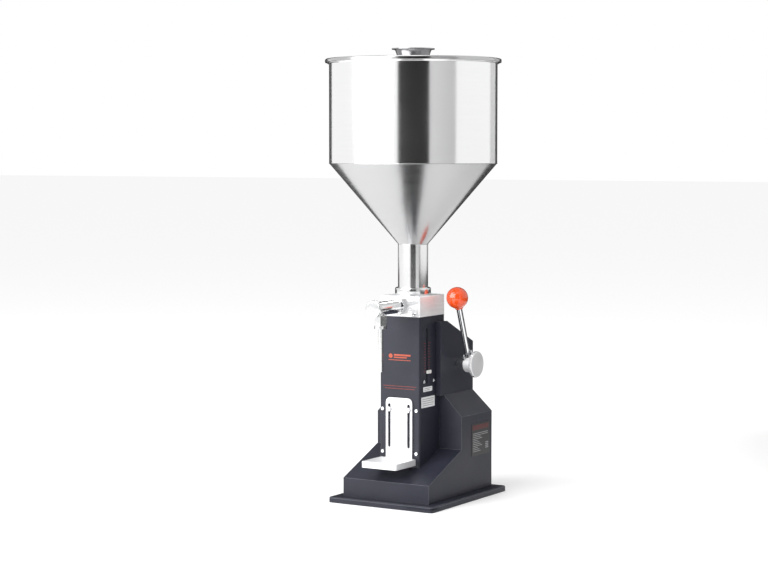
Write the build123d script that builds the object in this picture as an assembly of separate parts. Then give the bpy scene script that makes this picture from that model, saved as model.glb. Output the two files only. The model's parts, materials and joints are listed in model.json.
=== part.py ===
from build123d import *
import math
import os

# Hand-operated piston liquid filler, in millimetres.
# X runs to the lever side, -Y to the front where the nozzle is, +Z up.
# The origin is on the underside of the base plate, below the hopper's axis.

# ---------------------------------------------------------------- base plate
plate_width = 193.0
plate_front = 104.0
plate_rear = 141.5
plate_thick = 9.0
plate_corner = 5.0
plate_edge_chamfer = 1.5
countersink_tip_radius = 0.01

# ---------------------------------------------------------------- lower body
body_width = 159.0
body_front = 85.0
body_rear = 121.5
body_wall = 3.0
lip_height = 30.0
ramp_rise = 43.4
box_front_y = 19.8
box_height = 126.7
bevel_height = 33.6
tab_size = 18.0
tab_edge_gap = 12.0
bevel_wall_share = 1.4

# -------------------------------------------------------------- rear housing
housing_width = 94.0
housing_front_y = 8.2
housing_rear_y = 115.4
housing_wall = 3.0
housing_height = 119.9
housing_break_y = 29.3
housing_top_drop = 39.4
cover_thick = 2.0
cover_margin = 6.0
cover_overlap = 7.0
cover_edge_gap = 0.5
cover_corner = 3.0
housing_edge_radius = 2.0

# -------------------------------------------------------------------- column
column_width = 74.0
column_front_y = -41.2
column_rear_y = 38.0
column_wall = 4.0
column_height = 290.3
column_edge_radius = 2.5
column_foot_thick = 4.0
column_foot_hole = 17.0
foot_screw_inset = 8.0
rack_side_gap = 1.0
rack_window_gap = 4.0
body_gap = 0.3

# --------------------------------------------------------------- valve block
block_height = 32.6
block_edge_radius = 2.0
block_top_chamfer = 0.8
block_spigot_depth = 6.0
block_spigot_gap = 0.3
inlet_seat_thick = 5.0
inlet_seat_radius = 16.0
inlet_seat_hole = 7.0
inlet_seat_lead_depth = 2.0
inlet_seat_lead_run = 3.0
inlet_ball_radius = 9.0
inlet_chamber_radius = 12.0
inlet_ledge_height = 10.2
inlet_port_radius = 5.5
inlet_spring_radius = 6.6
inlet_spring_wire = 0.7
inlet_spring_turns = 3.5
spring_seat_gap = 0.1
spring_end_gap = 0.2
valve_rest_gap = 0.3

# ---------------------------------------------------------------- outlet arm
outlet_height_in_block = 16.7
outlet_radius = 11.0
outlet_tail_radius = 9.0
outlet_tail_depth = 12.0
outlet_bore_radius = 4.5
outlet_chamber_radius = 7.5
outlet_reach = 74.8
outlet_seat_reach = 15.0
outlet_ball_radius = 6.0
outlet_travel = 3.0
outlet_spring_radius = 4.2
outlet_spring_wire = 0.5
outlet_spring_turns = 9
outlet_cap_radius = 14.0
outlet_cap_thick = 6.8
outlet_cap_edge = 2.2
outlet_plug_depth = 8.0
union_nut_flats = 25.0
union_nut_thick = 10.0

# -------------------------------------------------------------------- nozzle
nozzle_reach = 58.4
nozzle_outer_radius = 4.0
nozzle_bore_radius = 3.0
nozzle_tip_drop = 100.4
nozzle_stub_radius = 7.0
nozzle_stub_drop = 24.0
nozzle_nut_flats = 19.0
nozzle_nut_top_drop = 11.4
nozzle_nut_height = 15.6
nozzle_nut_skirt = 5.0
nozzle_nut_skirt_radius = 10.0
nozzle_flange_radius = 6.6
nozzle_flange_thick = 1.6
nozzle_flange_gap = 0.1
nozzle_tip_chamfer = 0.4

# -------------------------------------------------------------------- hopper
hopper_radius = 135.0
hopper_wall = 1.5
hopper_neck_radius = 24.3
hopper_neck_length = 76.4
hopper_cone_height = 129.6
hopper_wall_height = 162.6
hopper_bead_width = 3.5
hopper_bead_height = 4.0
hopper_bead_round = 1.4
ferrule_radius = 25.9
ferrule_thick = 3.6
ferrule_gap = 0.1
union_ring_radius = 29.0
union_ring_height = 12.1
union_ring_chamfer = 2.0
union_ring_foot_chamfer = 0.8
union_spigot_radius = 26.4
union_spigot_height = 4.0
union_spigot_bore = 20.0
gasket_thick = 1.5
thread_gap = 0.1

# ----------------------------------------------------------------------- lid
lid_skirt_gap = 1.4
lid_sheet = 1.5
lid_edge_radius = 1.2
lid_skirt_drop = 6.0
lid_gasket_thick = 2.4
lid_gasket_inset = 2.5
lid_rest_gap = 0.1
knob_stem_radius = 24.5
knob_stem_height = 15.0
knob_flare_radius = 28.5
knob_radius = 34.6
knob_rim_thick = 2.0
knob_rim_round = 0.8
knob_screw_reach = 6.0
knob_screw_end_gap = 0.5
knob_screw_head_height = 3.0

# ------------------------------------------------------- cylinder and piston
cylinder_bore_radius = 18.0
cylinder_wall = 5.0
cylinder_length = 78.3
cylinder_flange_radius = 30.0
cylinder_flange_thick = 6.0
cylinder_screw_circle = 26.5
cylinder_screw_grip = 8.0
cylinder_lead_in = 1.5
cylinder_lead_length = 3.0
piston_height = 20.0
piston_edge_chamfer = 1.0
piston_top_gap = 2.0
piston_gap = 0.4
seal_gap = 0.05
seal_height = 3.0
seal_depth = 2.5
seal_side_gap = 0.1
lower_seal_share = 0.2
upper_seal_share = 0.65
piston_stroke = 50.0
piston_rod_radius = 6.0
rod_screw_in = 8.0

# ------------------------------------------- guide plate, crosshead and stop
guide_plate_height = 181.0
guide_plate_thick = 10.0
guide_bush_radius = 9.0
guide_screw_front_gap = 12.6
guide_screw_spacing = 30.2
guide_screw_grip = 1.2
running_gap = 0.05
crosshead_height = 137.0
crosshead_thick = 16.0
crosshead_half_width = 12.0
crosshead_arm_reach = 31.5
crosshead_arm_front_margin = 3.0
crosshead_arm_rear_margin = 9.0
crosshead_low_screw_share = 0.25
crosshead_high_screw_share = 0.75
stop_rod_x = 27.5
stop_rod_y = -26.0
stop_rod_radius = 3.0
stop_head_radius = 4.5
stop_head_height = 6.0
stop_block_height = 10.0
stop_block_side_margin = 2.5
stop_block_front_margin = 5.5
stop_block_rear_margin = 5.0
stop_block_wall_gap = 0.3
stop_hole_gap = 0.4
stop_contact_gap = 0.5
slot_y = -18.0
slot_width = 4.0
slot_bottom_height = 181.7
slot_top_height = 272.0
stop_height = 201.0
stop_screw_gap = 0.4
stop_screw_depth = 6.0
stop_screw_head_radius = 2.2
stop_screw_head_height = 2.4
pointer_thick = 1.6
pointer_height = 5.4
pointer_reach = 11.0
pointer_gap = 0.3
pointer_corner = 1.5

# ------------------------------------------------------------ rack and gear
tooth_module = 2.0
pinion_teeth = 24
pressure_angle = 20.0
tooth_backlash = 0.16
dedendum_share = 1.25
rack_width = 12.0
rack_body_depth = 10.5
rack_teeth_below = 8
rack_teeth_above = 9
rack_screw_grip = 8.0
pinion_face = 14.0
pinion_hub_radius = 13.0
pinion_hub_length = 8.0
shaft_radius = 7.0
shaft_end_chamfer = 0.8
keyed_gap = 0.02
shaft_y = 66.0
shaft_height = 208.0
shaft_left_reach = 52.0
key_width = 4.0
key_height = 4.0
shaft_collar_radius = 12.0
shaft_collar_width = 8.0
shaft_collar_side_gap = 0.3
bearing_radius = 8.5
bearing_flange_radius = 12.0
bearing_flange_thick = 3.0
bearing_boss_reach = 14.7
bearing_inner_reach = 8.0
left_bearing_reach = 3.0

# --------------------------------------------------------------------- lever
hub_radius = 13.5
hub_start_gap = 0.3
hub_width = 15.0
hub_chamfer = 1.0
end_disc_radius = 21.0
end_disc_thick = 6.0
end_disc_chamfer = 0.8
lever_plane_offset = 6.0
lever_lean = 20.5
lever_length = 118.0
lever_rod_radius = 4.7
lever_ball_radius = 17.5
lever_rod_in_ball = 10.0
lever_rod_end_gap = 0.3
lever_rod_foot_gap = 0.6
ball_collar_width = 2.0
ball_collar_drop = 0.6
ball_collar_rise = 4.0
set_screw_radius = 2.0
set_screw_inset = 2.3
set_screw_socket_depth = 1.6
pinch_screw_gap = 0.2
pinch_screw_start = 6.0
pinch_screw_end = 20.0
top_screw_gap = 0.3
top_screw_end = 25.0
top_screw_offset = -1.5

# ---------------------------------------------------------------------- tray
tray_top_height = 63.0
tray_half_width = 32.5
tray_reach = 63.8
tray_sheet = 2.0
tray_lip_depth = 10.2
tray_rear_relief = 4.3
tray_front_corner = 2.5
strap_half_width = 24.4
strap_thick = 3.0
strap_gap = 0.1
strap_top_height = 159.6
strap_corner = 8.0
strap_slot_x = 18.0
strap_slot_width = 5.0
strap_slot_bottom_height = 79.0
strap_slot_top_height = 150.0
clamp_screw_height = 141.0
clamp_head_radius = 4.2
clamp_head_height = 3.0
clamp_shank_radius = 2.3
clamp_head_gap = 0.3

# ----------------------------------------------------------- small fasteners
small_head_radius = 3.0
small_head_height = 2.2
small_shank_radius = 1.5
small_shank_length = 3.0
base_screw_head_radius = 5.0
base_screw_head_height = 2.5
base_screw_radius = 2.5
base_screw_socket_depth = 1.6
screw_hole_gap = 0.1
screw_end_gap = 0.2
face_screw_x = 31.5
face_screw_low_height = 71.3
face_screw_high_height = 140.4
block_screw_x = 27.0
block_screw_height = 4.0

# -------------------------------------------------------------------- labels
label_thick = 0.4
label_corner = 1.2
rating_label_width = 60.0
rating_label_height = 53.0
rating_label_rear_gap = 8.5
rating_label_foot = 58.0
volume_label_width = 28.0
volume_label_height = 7.6
volume_label_front_gap = 11.2
volume_label_foot = 169.7
notice_label_width = 42.0
notice_label_height = 17.0
notice_label_front_gap = 5.2
notice_label_foot = 144.3

# ------------------------------------------------------- heights that follow
body_floor = plate_thick
lip_top = body_floor + lip_height
box_top = body_floor + box_height
bevel_top = box_top + bevel_height
housing_top = bevel_top + housing_height
column_top = plate_thick + column_height
block_bottom = column_top
block_top = block_bottom + block_height
cylinder_top = block_bottom - block_spigot_depth
cylinder_bottom = cylinder_top - cylinder_length
piston_top = cylinder_top - piston_top_gap
piston_bottom = piston_top - piston_height
guide_bottom = plate_thick + guide_plate_height
guide_top = guide_bottom + guide_plate_thick
crosshead_bottom = plate_thick + crosshead_height
crosshead_top = crosshead_bottom + crosshead_thick
stop_centre_z = plate_thick + stop_height
stop_block_top = stop_centre_z + stop_block_height / 2
stop_head_bottom = stop_block_top + piston_stroke + stop_contact_gap
shaft_z = plate_thick + shaft_height
pitch_radius = tooth_module * pinion_teeth / 2
pitch_line_y = shaft_y - pitch_radius
tooth_pitch = math.pi * tooth_module
half_column = column_width / 2
half_housing = housing_width / 2
outlet_z = block_bottom + outlet_height_in_block
outlet_front_y = column_front_y - outlet_reach
nozzle_y = column_front_y - nozzle_reach
outlet_seat_y = column_front_y - outlet_seat_reach
neck_bottom = block_top + union_spigot_height + gasket_thick
neck_top = neck_bottom + hopper_neck_length
cone_top = neck_top + hopper_cone_height
hopper_top = cone_top + hopper_wall_height
lid_underside = hopper_top + lid_rest_gap + lid_gasket_thick
lid_top = lid_underside + lid_sheet
hub_start_x = half_housing + bearing_boss_reach + hub_start_gap
hub_end_x = hub_start_x + hub_width
lever_x = hub_start_x + lever_plane_offset


def block(x_span, y_span, z_span):
    """A box between two values on each axis."""
    size = [span[1] - span[0] for span in (x_span, y_span, z_span)]
    middle = [(span[1] + span[0]) / 2 for span in (x_span, y_span, z_span)]
    return Pos(*middle) * Box(*size)


def rod(start, end, radius):
    """A round bar between two points."""
    run = Vector(*end) - Vector(*start)
    plane = Plane(origin=start, z_dir=run)
    return plane * Cylinder(radius, run.length, align=(Align.CENTER, Align.CENTER, Align.MIN))


def tapered(start, end, start_radius, end_radius):
    """A cone frustum between two points."""
    run = Vector(*end) - Vector(*start)
    plane = Plane(origin=start, z_dir=run)
    return plane * Cone(start_radius, end_radius, run.length, align=(Align.CENTER, Align.CENTER, Align.MIN))


def tube(start, end, outer, inner):
    """A round pipe between two points."""
    return rod(start, end, outer) - rod(start, end, inner)


def hexagon(start, end, flats, turn=0.0):
    """A hexagonal bar between two points, flats across its width."""
    run = Vector(*end) - Vector(*start)
    plane = Plane(origin=start, z_dir=run)
    corner_radius = flats / math.sqrt(3)
    return plane * (Rot(0, 0, turn) * extrude(RegularPolygon(corner_radius, 6), run.length))


def side_profile(points, half_width):
    """A prism whose outline is drawn in Y and Z and that is centred on X."""
    outline = make_face(Polyline(*[(0, y, z) for y, z in points], close=True))
    return extrude(outline, half_width, dir=(1, 0, 0), both=True)


def capped_slot(centre, length, width, depth, along, through):
    """A slot with round ends: its length runs along one axis, its depth through another."""
    reach = (length - width) / 2
    lower = Vector(*centre) - Vector(*along) * reach
    upper = Vector(*centre) + Vector(*along) * reach
    drill = Vector(*through) * depth
    ends = [rod(tuple(p - drill), tuple(p + drill), width / 2) for p in (lower, upper)]
    across = Vector(*along).cross(Vector(*through))
    size = [
        abs(along[i]) * 2 * reach + abs(through[i]) * 2 * depth + abs(tuple(across)[i]) * width
        for i in range(3)
    ]
    return ends[0] + ends[1] + Pos(*centre) * Box(*size)


def screw(seat, outward, head_radius, head_height, shank_radius, shank_length, socket_share=0.5):
    """A cap screw: the head stands outward from its seat and the shank goes inward."""
    seat = Vector(*seat)
    outward = Vector(*outward).normalized()
    head = rod(tuple(seat), tuple(seat + outward * head_height), head_radius)
    head = chamfer(head.faces().sort_by(Axis(tuple(seat), tuple(outward)))[-1].edges(), head_height * 0.2)
    shank = rod(tuple(seat - outward * shank_length), tuple(seat + outward * 0.2), shank_radius)
    socket_start = seat + outward * head_height * (1 - socket_share)
    socket_end = seat + outward * (head_height + 1)
    socket = hexagon(tuple(socket_start), tuple(socket_end), head_radius * 0.9)
    return head + shank - socket


def small_screw(seat, outward):
    return screw(
        seat, outward, small_head_radius, small_head_height, small_shank_radius, small_shank_length
    )


def screw_hole(seat, outward, radius, depth):
    """The clearance hole for a screw whose head sits at the seat."""
    seat = Vector(*seat)
    outward = Vector(*outward).normalized()
    return rod(tuple(seat - outward * depth), tuple(seat + outward), radius)


def ramp_z(y):
    """Height of the sloping apron at a distance along Y."""
    share = (y + body_front) / (box_front_y + body_front)
    return lip_top + share * ramp_rise


# ------------------------------------------------------------- base and body
def base_screw_places():
    """Screws from below: four into the body's tabs and four into the column's foot."""
    tab_x = body_width / 2 - tab_edge_gap
    tabs = [(x, y) for x in (-tab_x, tab_x) for y in (tab_edge_gap - body_front, body_rear - tab_edge_gap)]
    foot_x = half_column - column_wall - foot_screw_inset
    inset = column_wall + foot_screw_inset
    foot_ys = (column_front_y + inset, column_rear_y - inset)
    foot = [(x, y) for x in (-foot_x, foot_x) for y in foot_ys]
    return tabs, foot


def make_base_plate():
    half = plate_width / 2
    plate = block((-half, half), (-plate_front, plate_rear), (0, plate_thick))
    plate = fillet(plate.edges().filter_by(Axis.Z), plate_corner)
    plate = chamfer(plate.faces().sort_by(Axis.Z)[-1].edges(), plate_edge_chamfer)
    tabs, foot = base_screw_places()
    for x, y in tabs + foot:
        plate -= rod((x, y, -1), (x, y, plate_thick + 1), base_screw_radius + screw_hole_gap)
        head = base_screw_head_radius + screw_hole_gap
        plate -= tapered((x, y, 0), (x, y, head), head, countersink_tip_radius)
        plate -= rod((x, y, -1), (x, y, 0.001), head)
    return plate


def make_base_screws():
    tabs, foot = base_screw_places()
    solids = []
    reaches = [(place, body_wall) for place in tabs] + [(place, column_foot_thick) for place in foot]
    for (x, y), reach in reaches:
        head = tapered((x, y, 0), (x, y, base_screw_head_height), base_screw_head_radius, base_screw_radius)
        shank = rod((x, y, base_screw_head_height - 0.1), (x, y, plate_thick + reach), base_screw_radius)
        socket = hexagon((x, y, -1), (x, y, base_screw_socket_depth), base_screw_radius * 1.4)
        solids.append(head + shank - socket)
    return Compound(children=solids)


def body_envelope(inset):
    """The lower body's outer form, or its hollow when inset by the wall."""
    half = body_width / 2 - inset
    slope = ramp_rise / (box_front_y + body_front)
    drop = inset * math.sqrt(1 + slope * slope)
    front = -body_front + inset
    rear = body_rear - inset
    apron = side_profile(
        [
            (front, body_floor),
            (front, ramp_z(front) - drop),
            (box_front_y + inset, ramp_z(box_front_y + inset) - drop),
            (box_front_y + inset, body_floor),
        ],
        half,
    )
    main_box = block((-half, half), (box_front_y + inset, rear), (body_floor, box_top))
    bevel_inset = inset * bevel_wall_share
    bottom_half = body_width / 2 - bevel_inset
    top_half = half_housing - bevel_inset
    bottom_span = (box_front_y + inset, rear)
    top_span = (box_front_y + inset, housing_rear_y - inset)
    bottom = Plane(origin=(0, sum(bottom_span) / 2, box_top)) * Rectangle(
        2 * bottom_half, bottom_span[1] - bottom_span[0]
    )
    top = Plane(origin=(0, sum(top_span) / 2, bevel_top)) * Rectangle(2 * top_half, top_span[1] - top_span[0])
    return apron + main_box + loft([bottom, top])


def column_passage():
    """The clearance that the body and the housing leave around the column."""
    half = half_column + body_gap
    span_y = (column_front_y - body_gap, column_rear_y + body_gap)
    return block((-half, half), span_y, (body_floor - 1, housing_top + 1))


def make_lower_body():
    shell = body_envelope(0) - body_envelope(body_wall)
    tabs, _ = base_screw_places()
    half = body_width / 2
    for x, y in tabs:
        side = 1 if x > 0 else -1
        end = 1 if y > 0 else -1
        edge_x = side * half
        edge_y = body_rear if end > 0 else -body_front
        xs = sorted((edge_x, edge_x - side * (tab_edge_gap + tab_size / 2)))
        ys = sorted((edge_y, edge_y - end * (tab_edge_gap + tab_size / 2)))
        shell += block(xs, ys, (body_floor, body_floor + body_wall))
    for x, y in tabs:
        shell -= rod((x, y, 0), (x, y, body_floor + body_wall + 1), base_screw_radius + screw_hole_gap)
    return shell - column_passage()


def housing_profile(inset, floor):
    """Side outline of the rear housing: level at the front, then sloping to the rear."""
    slope = housing_top_drop / (housing_rear_y - housing_break_y)
    top = housing_top - inset
    front = housing_front_y + inset
    rear = housing_rear_y - inset
    drop = inset * math.sqrt(1 + slope * slope)
    rear_z = housing_top - slope * (rear - housing_break_y) - drop
    break_y = housing_break_y + (inset - drop) / slope
    if floor > 0:
        step = box_front_y + inset
        lower = [(step, bevel_top - 1), (step, bevel_top + floor), (front, bevel_top + floor)]
    else:
        lower = [(front, bevel_top)]
    rear_low = bevel_top - 1 if floor > 0 else bevel_top
    return lower + [(front, top), (break_y, top), (rear, rear_z), (rear, rear_low)]


def rear_window():
    """Width and height of the opening in the housing's back wall, closed by the rear cover."""
    half = half_housing - housing_wall - cover_margin
    top = housing_top - housing_top_drop - housing_wall - cover_margin
    return half, bevel_top + cover_margin + cover_overlap, top - cover_overlap


def cover_screw_places():
    half, low, high = rear_window()
    inset = cover_overlap / 2
    return [(x, z) for x in (-half - inset, half + inset) for z in (low - inset, high + inset)]


def make_upper_housing():
    outer = side_profile(housing_profile(0, 0), half_housing)
    outer = fillet(outer.edges().filter_by(Axis.X).group_by(Axis.Z)[-1], housing_edge_radius)
    shell = outer - side_profile(housing_profile(housing_wall, housing_wall), half_housing - housing_wall)
    half, low, high = rear_window()
    shell -= block((-half, half), (housing_rear_y - housing_wall - 1, housing_rear_y + 1), (low, high))
    shell -= column_passage()
    centre = (shaft_y, shaft_z)
    shell -= rod((-half_housing - 1, *centre), (half_housing + 1, *centre), bearing_radius + screw_hole_gap)
    for x, z in cover_screw_places():
        radius = small_shank_radius + screw_hole_gap
        shell -= screw_hole((x, housing_rear_y, z), (0, 1, 0), radius, housing_wall + 1)
    return shell


def make_rear_cover():
    half, low, high = rear_window()
    reach = cover_overlap - cover_edge_gap
    rear = housing_rear_y + cover_thick
    cover = block((-half - reach, half + reach), (housing_rear_y, rear), (low - reach, high + reach))
    cover = fillet(cover.edges().filter_by(Axis.Y), cover_corner)
    for x, z in cover_screw_places():
        cover -= screw_hole((x, rear, z), (0, 1, 0), small_shank_radius + screw_hole_gap, cover_thick + 1)
    return cover


def make_rear_cover_screws():
    rear = housing_rear_y + cover_thick
    return Compound(children=[small_screw((x, rear, z), (0, 1, 0)) for x, z in cover_screw_places()])


# -------------------------------------------------------------------- column
def guide_screw_places():
    """Side screws that hold the guide plate, on both flanks of the column."""
    middle = (guide_bottom + guide_top) / 2
    front = column_front_y + guide_screw_front_gap
    return [(side, y, middle) for side in (-1, 1) for y in (front, front + guide_screw_spacing)]


def make_column():
    half = half_column
    outer = block((-half, half), (column_front_y, column_rear_y), (plate_thick, column_top))
    outer = fillet(outer.edges().filter_by(Axis.Z), column_edge_radius)
    inner_half = half - column_wall
    inner_span = (column_front_y + column_wall, column_rear_y - column_wall)
    inner = block((-inner_half, inner_half), inner_span, (plate_thick + column_foot_thick, column_top + 1))
    column = outer - inner
    column -= rod((0, 0, 0), (0, 0, plate_thick + column_foot_thick + 1), column_foot_hole)
    slot_low = plate_thick + slot_bottom_height
    slot_high = plate_thick + slot_top_height
    slot_centre = (half, slot_y, (slot_low + slot_high) / 2)
    column -= capped_slot(
        slot_centre, slot_high - slot_low, slot_width, column_wall + 1, (0, 0, 1), (1, 0, 0)
    )
    rack_half = rack_width / 2 + rack_side_gap
    rack_low = crosshead_bottom - piston_stroke - rack_window_gap
    rear_span = (column_rear_y - column_wall - 1, column_rear_y + 1)
    column -= block((-rack_half, rack_half), rear_span, (rack_low, housing_top - rack_window_gap))
    front = column_front_y
    for side in (-1, 1):
        z = plate_thick + clamp_screw_height
        column -= screw_hole(
            (side * strap_slot_x, front, z), (0, -1, 0), clamp_shank_radius + screw_hole_gap, column_wall + 1
        )
        for height in (face_screw_low_height, face_screw_high_height):
            seat = (side * face_screw_x, front, plate_thick + height)
            column -= screw_hole(
                seat, (0, -1, 0), small_shank_radius + screw_hole_gap, small_shank_length + screw_end_gap
            )
    for side, y, z in guide_screw_places():
        column -= screw_hole(
            (side * half, y, z), (side, 0, 0), small_shank_radius + screw_hole_gap, column_wall + 1
        )
    _, foot = base_screw_places()
    foot_top = plate_thick + column_foot_thick
    for x, y in foot:
        column -= rod((x, y, 0), (x, y, foot_top + 1), base_screw_radius + screw_hole_gap)
    return column


def make_column_face_screws():
    seats = [
        (side * face_screw_x, column_front_y, plate_thick + height)
        for side in (-1, 1)
        for height in (face_screw_low_height, face_screw_high_height)
    ]
    return Compound(children=[small_screw(seat, (0, -1, 0)) for seat in seats])


def make_guide_plate():
    inner_half = half_column - column_wall - block_spigot_gap
    span = (column_front_y + column_wall + block_spigot_gap, column_rear_y - column_wall - block_spigot_gap)
    plate = block((-inner_half, inner_half), span, (guide_bottom, guide_top))
    plate -= rod((0, 0, guide_bottom - 1), (0, 0, guide_top + 1), guide_bush_radius)
    place = (stop_rod_x, stop_rod_y)
    plate -= rod((*place, guide_bottom - 1), (*place, guide_top + 1), stop_rod_radius + stop_hole_gap)
    rack_half = rack_width / 2 + rack_side_gap
    rack_front = pitch_line_y - rack_body_depth - tooth_module * dedendum_share
    plate -= block((-rack_half, rack_half), (rack_front - 1, span[1] + 1), (guide_bottom - 1, guide_top + 1))
    for side, y, z in guide_screw_places():
        hole_end = half_column - column_wall - guide_screw_grip - screw_end_gap
        plate -= rod((side * hole_end, y, z), (side * half_column, y, z), small_shank_radius + screw_hole_gap)
    return plate


def make_guide_plate_screws():
    solids = []
    for side, y, z in guide_screw_places():
        solids.append(
            screw(
                (side * half_column, y, z), (side, 0, 0), small_head_radius, small_head_height,
                small_shank_radius, column_wall + guide_screw_grip
            )
        )
    return Compound(children=solids)


def make_guide_bush():
    return tube((0, 0, guide_bottom), (0, 0, guide_top), guide_bush_radius, piston_rod_radius + running_gap)


# --------------------------------------------------------------- valve block
def make_valve_block():
    half = half_column
    body = block((-half, half), (column_front_y, column_rear_y), (block_bottom, block_top))
    body = fillet(body.edges().filter_by(Axis.Z), block_edge_radius)
    body = chamfer(body.faces().sort_by(Axis.Z)[-1].edges(), block_top_chamfer)
    spigot_half = half - column_wall - block_spigot_gap
    spigot_span = (
        column_front_y + column_wall + block_spigot_gap,
        column_rear_y - column_wall - block_spigot_gap,
    )
    body += block((-spigot_half, spigot_half), spigot_span, (cylinder_top, block_bottom))
    body += rod((0, 0, block_top - 1), (0, 0, block_top + union_spigot_height), union_spigot_radius)
    body -= rod((0, 0, block_top), (0, 0, block_top + union_spigot_height + 1), union_spigot_bore)
    seat_floor = block_top - inlet_seat_thick
    body -= rod((0, 0, seat_floor), (0, 0, block_top + 1), inlet_seat_radius + screw_hole_gap)
    ledge = cylinder_top + inlet_ledge_height
    body -= rod((0, 0, ledge), (0, 0, seat_floor + 1), inlet_chamber_radius)
    body -= rod((0, 0, cylinder_top - 1), (0, 0, ledge + 1), inlet_port_radius)
    tail_end = column_front_y + outlet_tail_depth
    body -= rod(
        (0, column_front_y - 1, outlet_z), (0, tail_end, outlet_z), outlet_tail_radius + screw_hole_gap
    )
    body -= rod((0, tail_end - 1, outlet_z), (0, 0, outlet_z), outlet_bore_radius)
    for x in (-block_screw_x, block_screw_x):
        seat = (x, column_front_y, block_bottom + block_screw_height)
        hole_depth = small_shank_length + screw_end_gap
        body -= screw_hole(seat, (0, -1, 0), small_shank_radius + screw_hole_gap, hole_depth)
    for x, y in cylinder_screw_places():
        radius = base_screw_radius + screw_hole_gap
        body -= rod((x, y, cylinder_top - 1), (x, y, cylinder_top + cylinder_screw_grip + 1), radius)
    return body


def make_block_screws():
    seats = [
        (x, column_front_y, block_bottom + block_screw_height) for x in (-block_screw_x, block_screw_x)
    ]
    return Compound(children=[small_screw(seat, (0, -1, 0)) for seat in seats])


def make_inlet_seat():
    floor = block_top - inlet_seat_thick
    ring = tube((0, 0, floor), (0, 0, block_top), inlet_seat_radius, inlet_seat_hole)
    lead_low = block_top - inlet_seat_lead_depth
    lead_radius = inlet_seat_hole + inlet_seat_lead_run
    return ring - tapered((0, 0, lead_low), (0, 0, block_top), inlet_seat_hole, lead_radius)


def inlet_ball_z():
    """The ball closes just below the seat's lower edge."""
    sunk = math.sqrt(inlet_ball_radius ** 2 - inlet_seat_hole ** 2)
    return block_top - inlet_seat_thick - sunk - valve_rest_gap


def make_inlet_ball():
    return Pos(0, 0, inlet_ball_z()) * Sphere(inlet_ball_radius)


def coil_spring(radius, wire, length, turns):
    """A round-wire coil standing on Z from 0 to its length."""
    path = Helix(pitch=length / turns, height=length, radius=radius)
    section = Plane(origin=path @ 0, z_dir=path % 0) * Circle(wire)
    return sweep(section, path=path, is_frenet=True)


def make_inlet_spring():
    wire = inlet_spring_wire
    floor = cylinder_top + inlet_ledge_height + wire + spring_seat_gap
    touch = math.sqrt((inlet_ball_radius + wire) ** 2 - inlet_spring_radius ** 2)
    top = inlet_ball_z() - touch - spring_end_gap
    return Pos(0, 0, floor) * coil_spring(inlet_spring_radius, wire, top - floor, inlet_spring_turns)


# ---------------------------------------------------------------- outlet arm
def make_outlet_body():
    tail_end = column_front_y + outlet_tail_depth - screw_end_gap
    shoulder = column_front_y - union_nut_thick
    body = rod((0, tail_end, outlet_z), (0, shoulder, outlet_z), outlet_tail_radius)
    body += rod((0, shoulder, outlet_z), (0, outlet_front_y, outlet_z), outlet_radius)
    stub_end = outlet_z - nozzle_stub_drop
    body += rod((0, nozzle_y, outlet_z), (0, nozzle_y, stub_end), nozzle_stub_radius)
    body -= rod((0, tail_end + 1, outlet_z), (0, outlet_seat_y, outlet_z), outlet_bore_radius)
    body -= rod((0, outlet_seat_y, outlet_z), (0, outlet_front_y - 1, outlet_z), outlet_chamber_radius)
    body -= rod((0, nozzle_y, outlet_z), (0, nozzle_y, stub_end - 1), nozzle_bore_radius)
    return body


def make_outlet_union_nut():
    start = (0, column_front_y, outlet_z)
    end = (0, column_front_y - union_nut_thick, outlet_z)
    return hexagon(start, end, union_nut_flats, 30) - rod(start, end, outlet_tail_radius + screw_hole_gap)


def outlet_ball_y():
    sunk = math.sqrt(outlet_ball_radius ** 2 - outlet_bore_radius ** 2)
    return outlet_seat_y - sunk - valve_rest_gap


def make_outlet_ball():
    return Pos(0, outlet_ball_y(), outlet_z) * Sphere(outlet_ball_radius)


def make_outlet_spring():
    wire = outlet_spring_wire
    start = outlet_ball_y() - outlet_travel - outlet_ball_radius
    end = outlet_front_y + outlet_plug_depth + wire + spring_end_gap
    coil = coil_spring(outlet_spring_radius, wire, start - end, outlet_spring_turns)
    return Pos(0, start, outlet_z) * (Rot(90, 0, 0) * coil)


def make_outlet_cap():
    front = outlet_front_y - outlet_cap_thick
    cap = rod((0, outlet_front_y, outlet_z), (0, front, outlet_z), outlet_cap_radius)
    cap = fillet(cap.faces().sort_by(Axis.Y)[0].edges(), outlet_cap_edge)
    plug_end = outlet_front_y + outlet_plug_depth
    plug_radius = outlet_chamber_radius - thread_gap
    return cap + rod((0, plug_end, outlet_z), (0, outlet_front_y, outlet_z), plug_radius)


def make_nozzle_nut():
    top = outlet_z - nozzle_nut_top_drop
    hex_bottom = top - nozzle_nut_height
    bottom = hex_bottom - nozzle_nut_skirt
    nut = hexagon((0, nozzle_y, hex_bottom), (0, nozzle_y, top), nozzle_nut_flats)
    nut += rod((0, nozzle_y, bottom), (0, nozzle_y, hex_bottom), nozzle_nut_skirt_radius)
    seat = outlet_z - nozzle_stub_drop - nozzle_flange_thick - nozzle_flange_gap
    nut -= rod((0, nozzle_y, seat), (0, nozzle_y, top + 1), nozzle_stub_radius + thread_gap)
    return nut - rod((0, nozzle_y, bottom - 1), (0, nozzle_y, top), nozzle_outer_radius + thread_gap)


def make_nozzle_tube():
    top = outlet_z - nozzle_stub_drop
    tip = outlet_z - nozzle_tip_drop
    pipe = rod((0, nozzle_y, tip), (0, nozzle_y, top), nozzle_outer_radius)
    pipe = chamfer(pipe.faces().sort_by(Axis.Z)[0].edges(), nozzle_tip_chamfer)
    pipe += rod((0, nozzle_y, top - nozzle_flange_thick), (0, nozzle_y, top), nozzle_flange_radius)
    return pipe - rod((0, nozzle_y, tip - 1), (0, nozzle_y, top + 1), nozzle_bore_radius)


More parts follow.
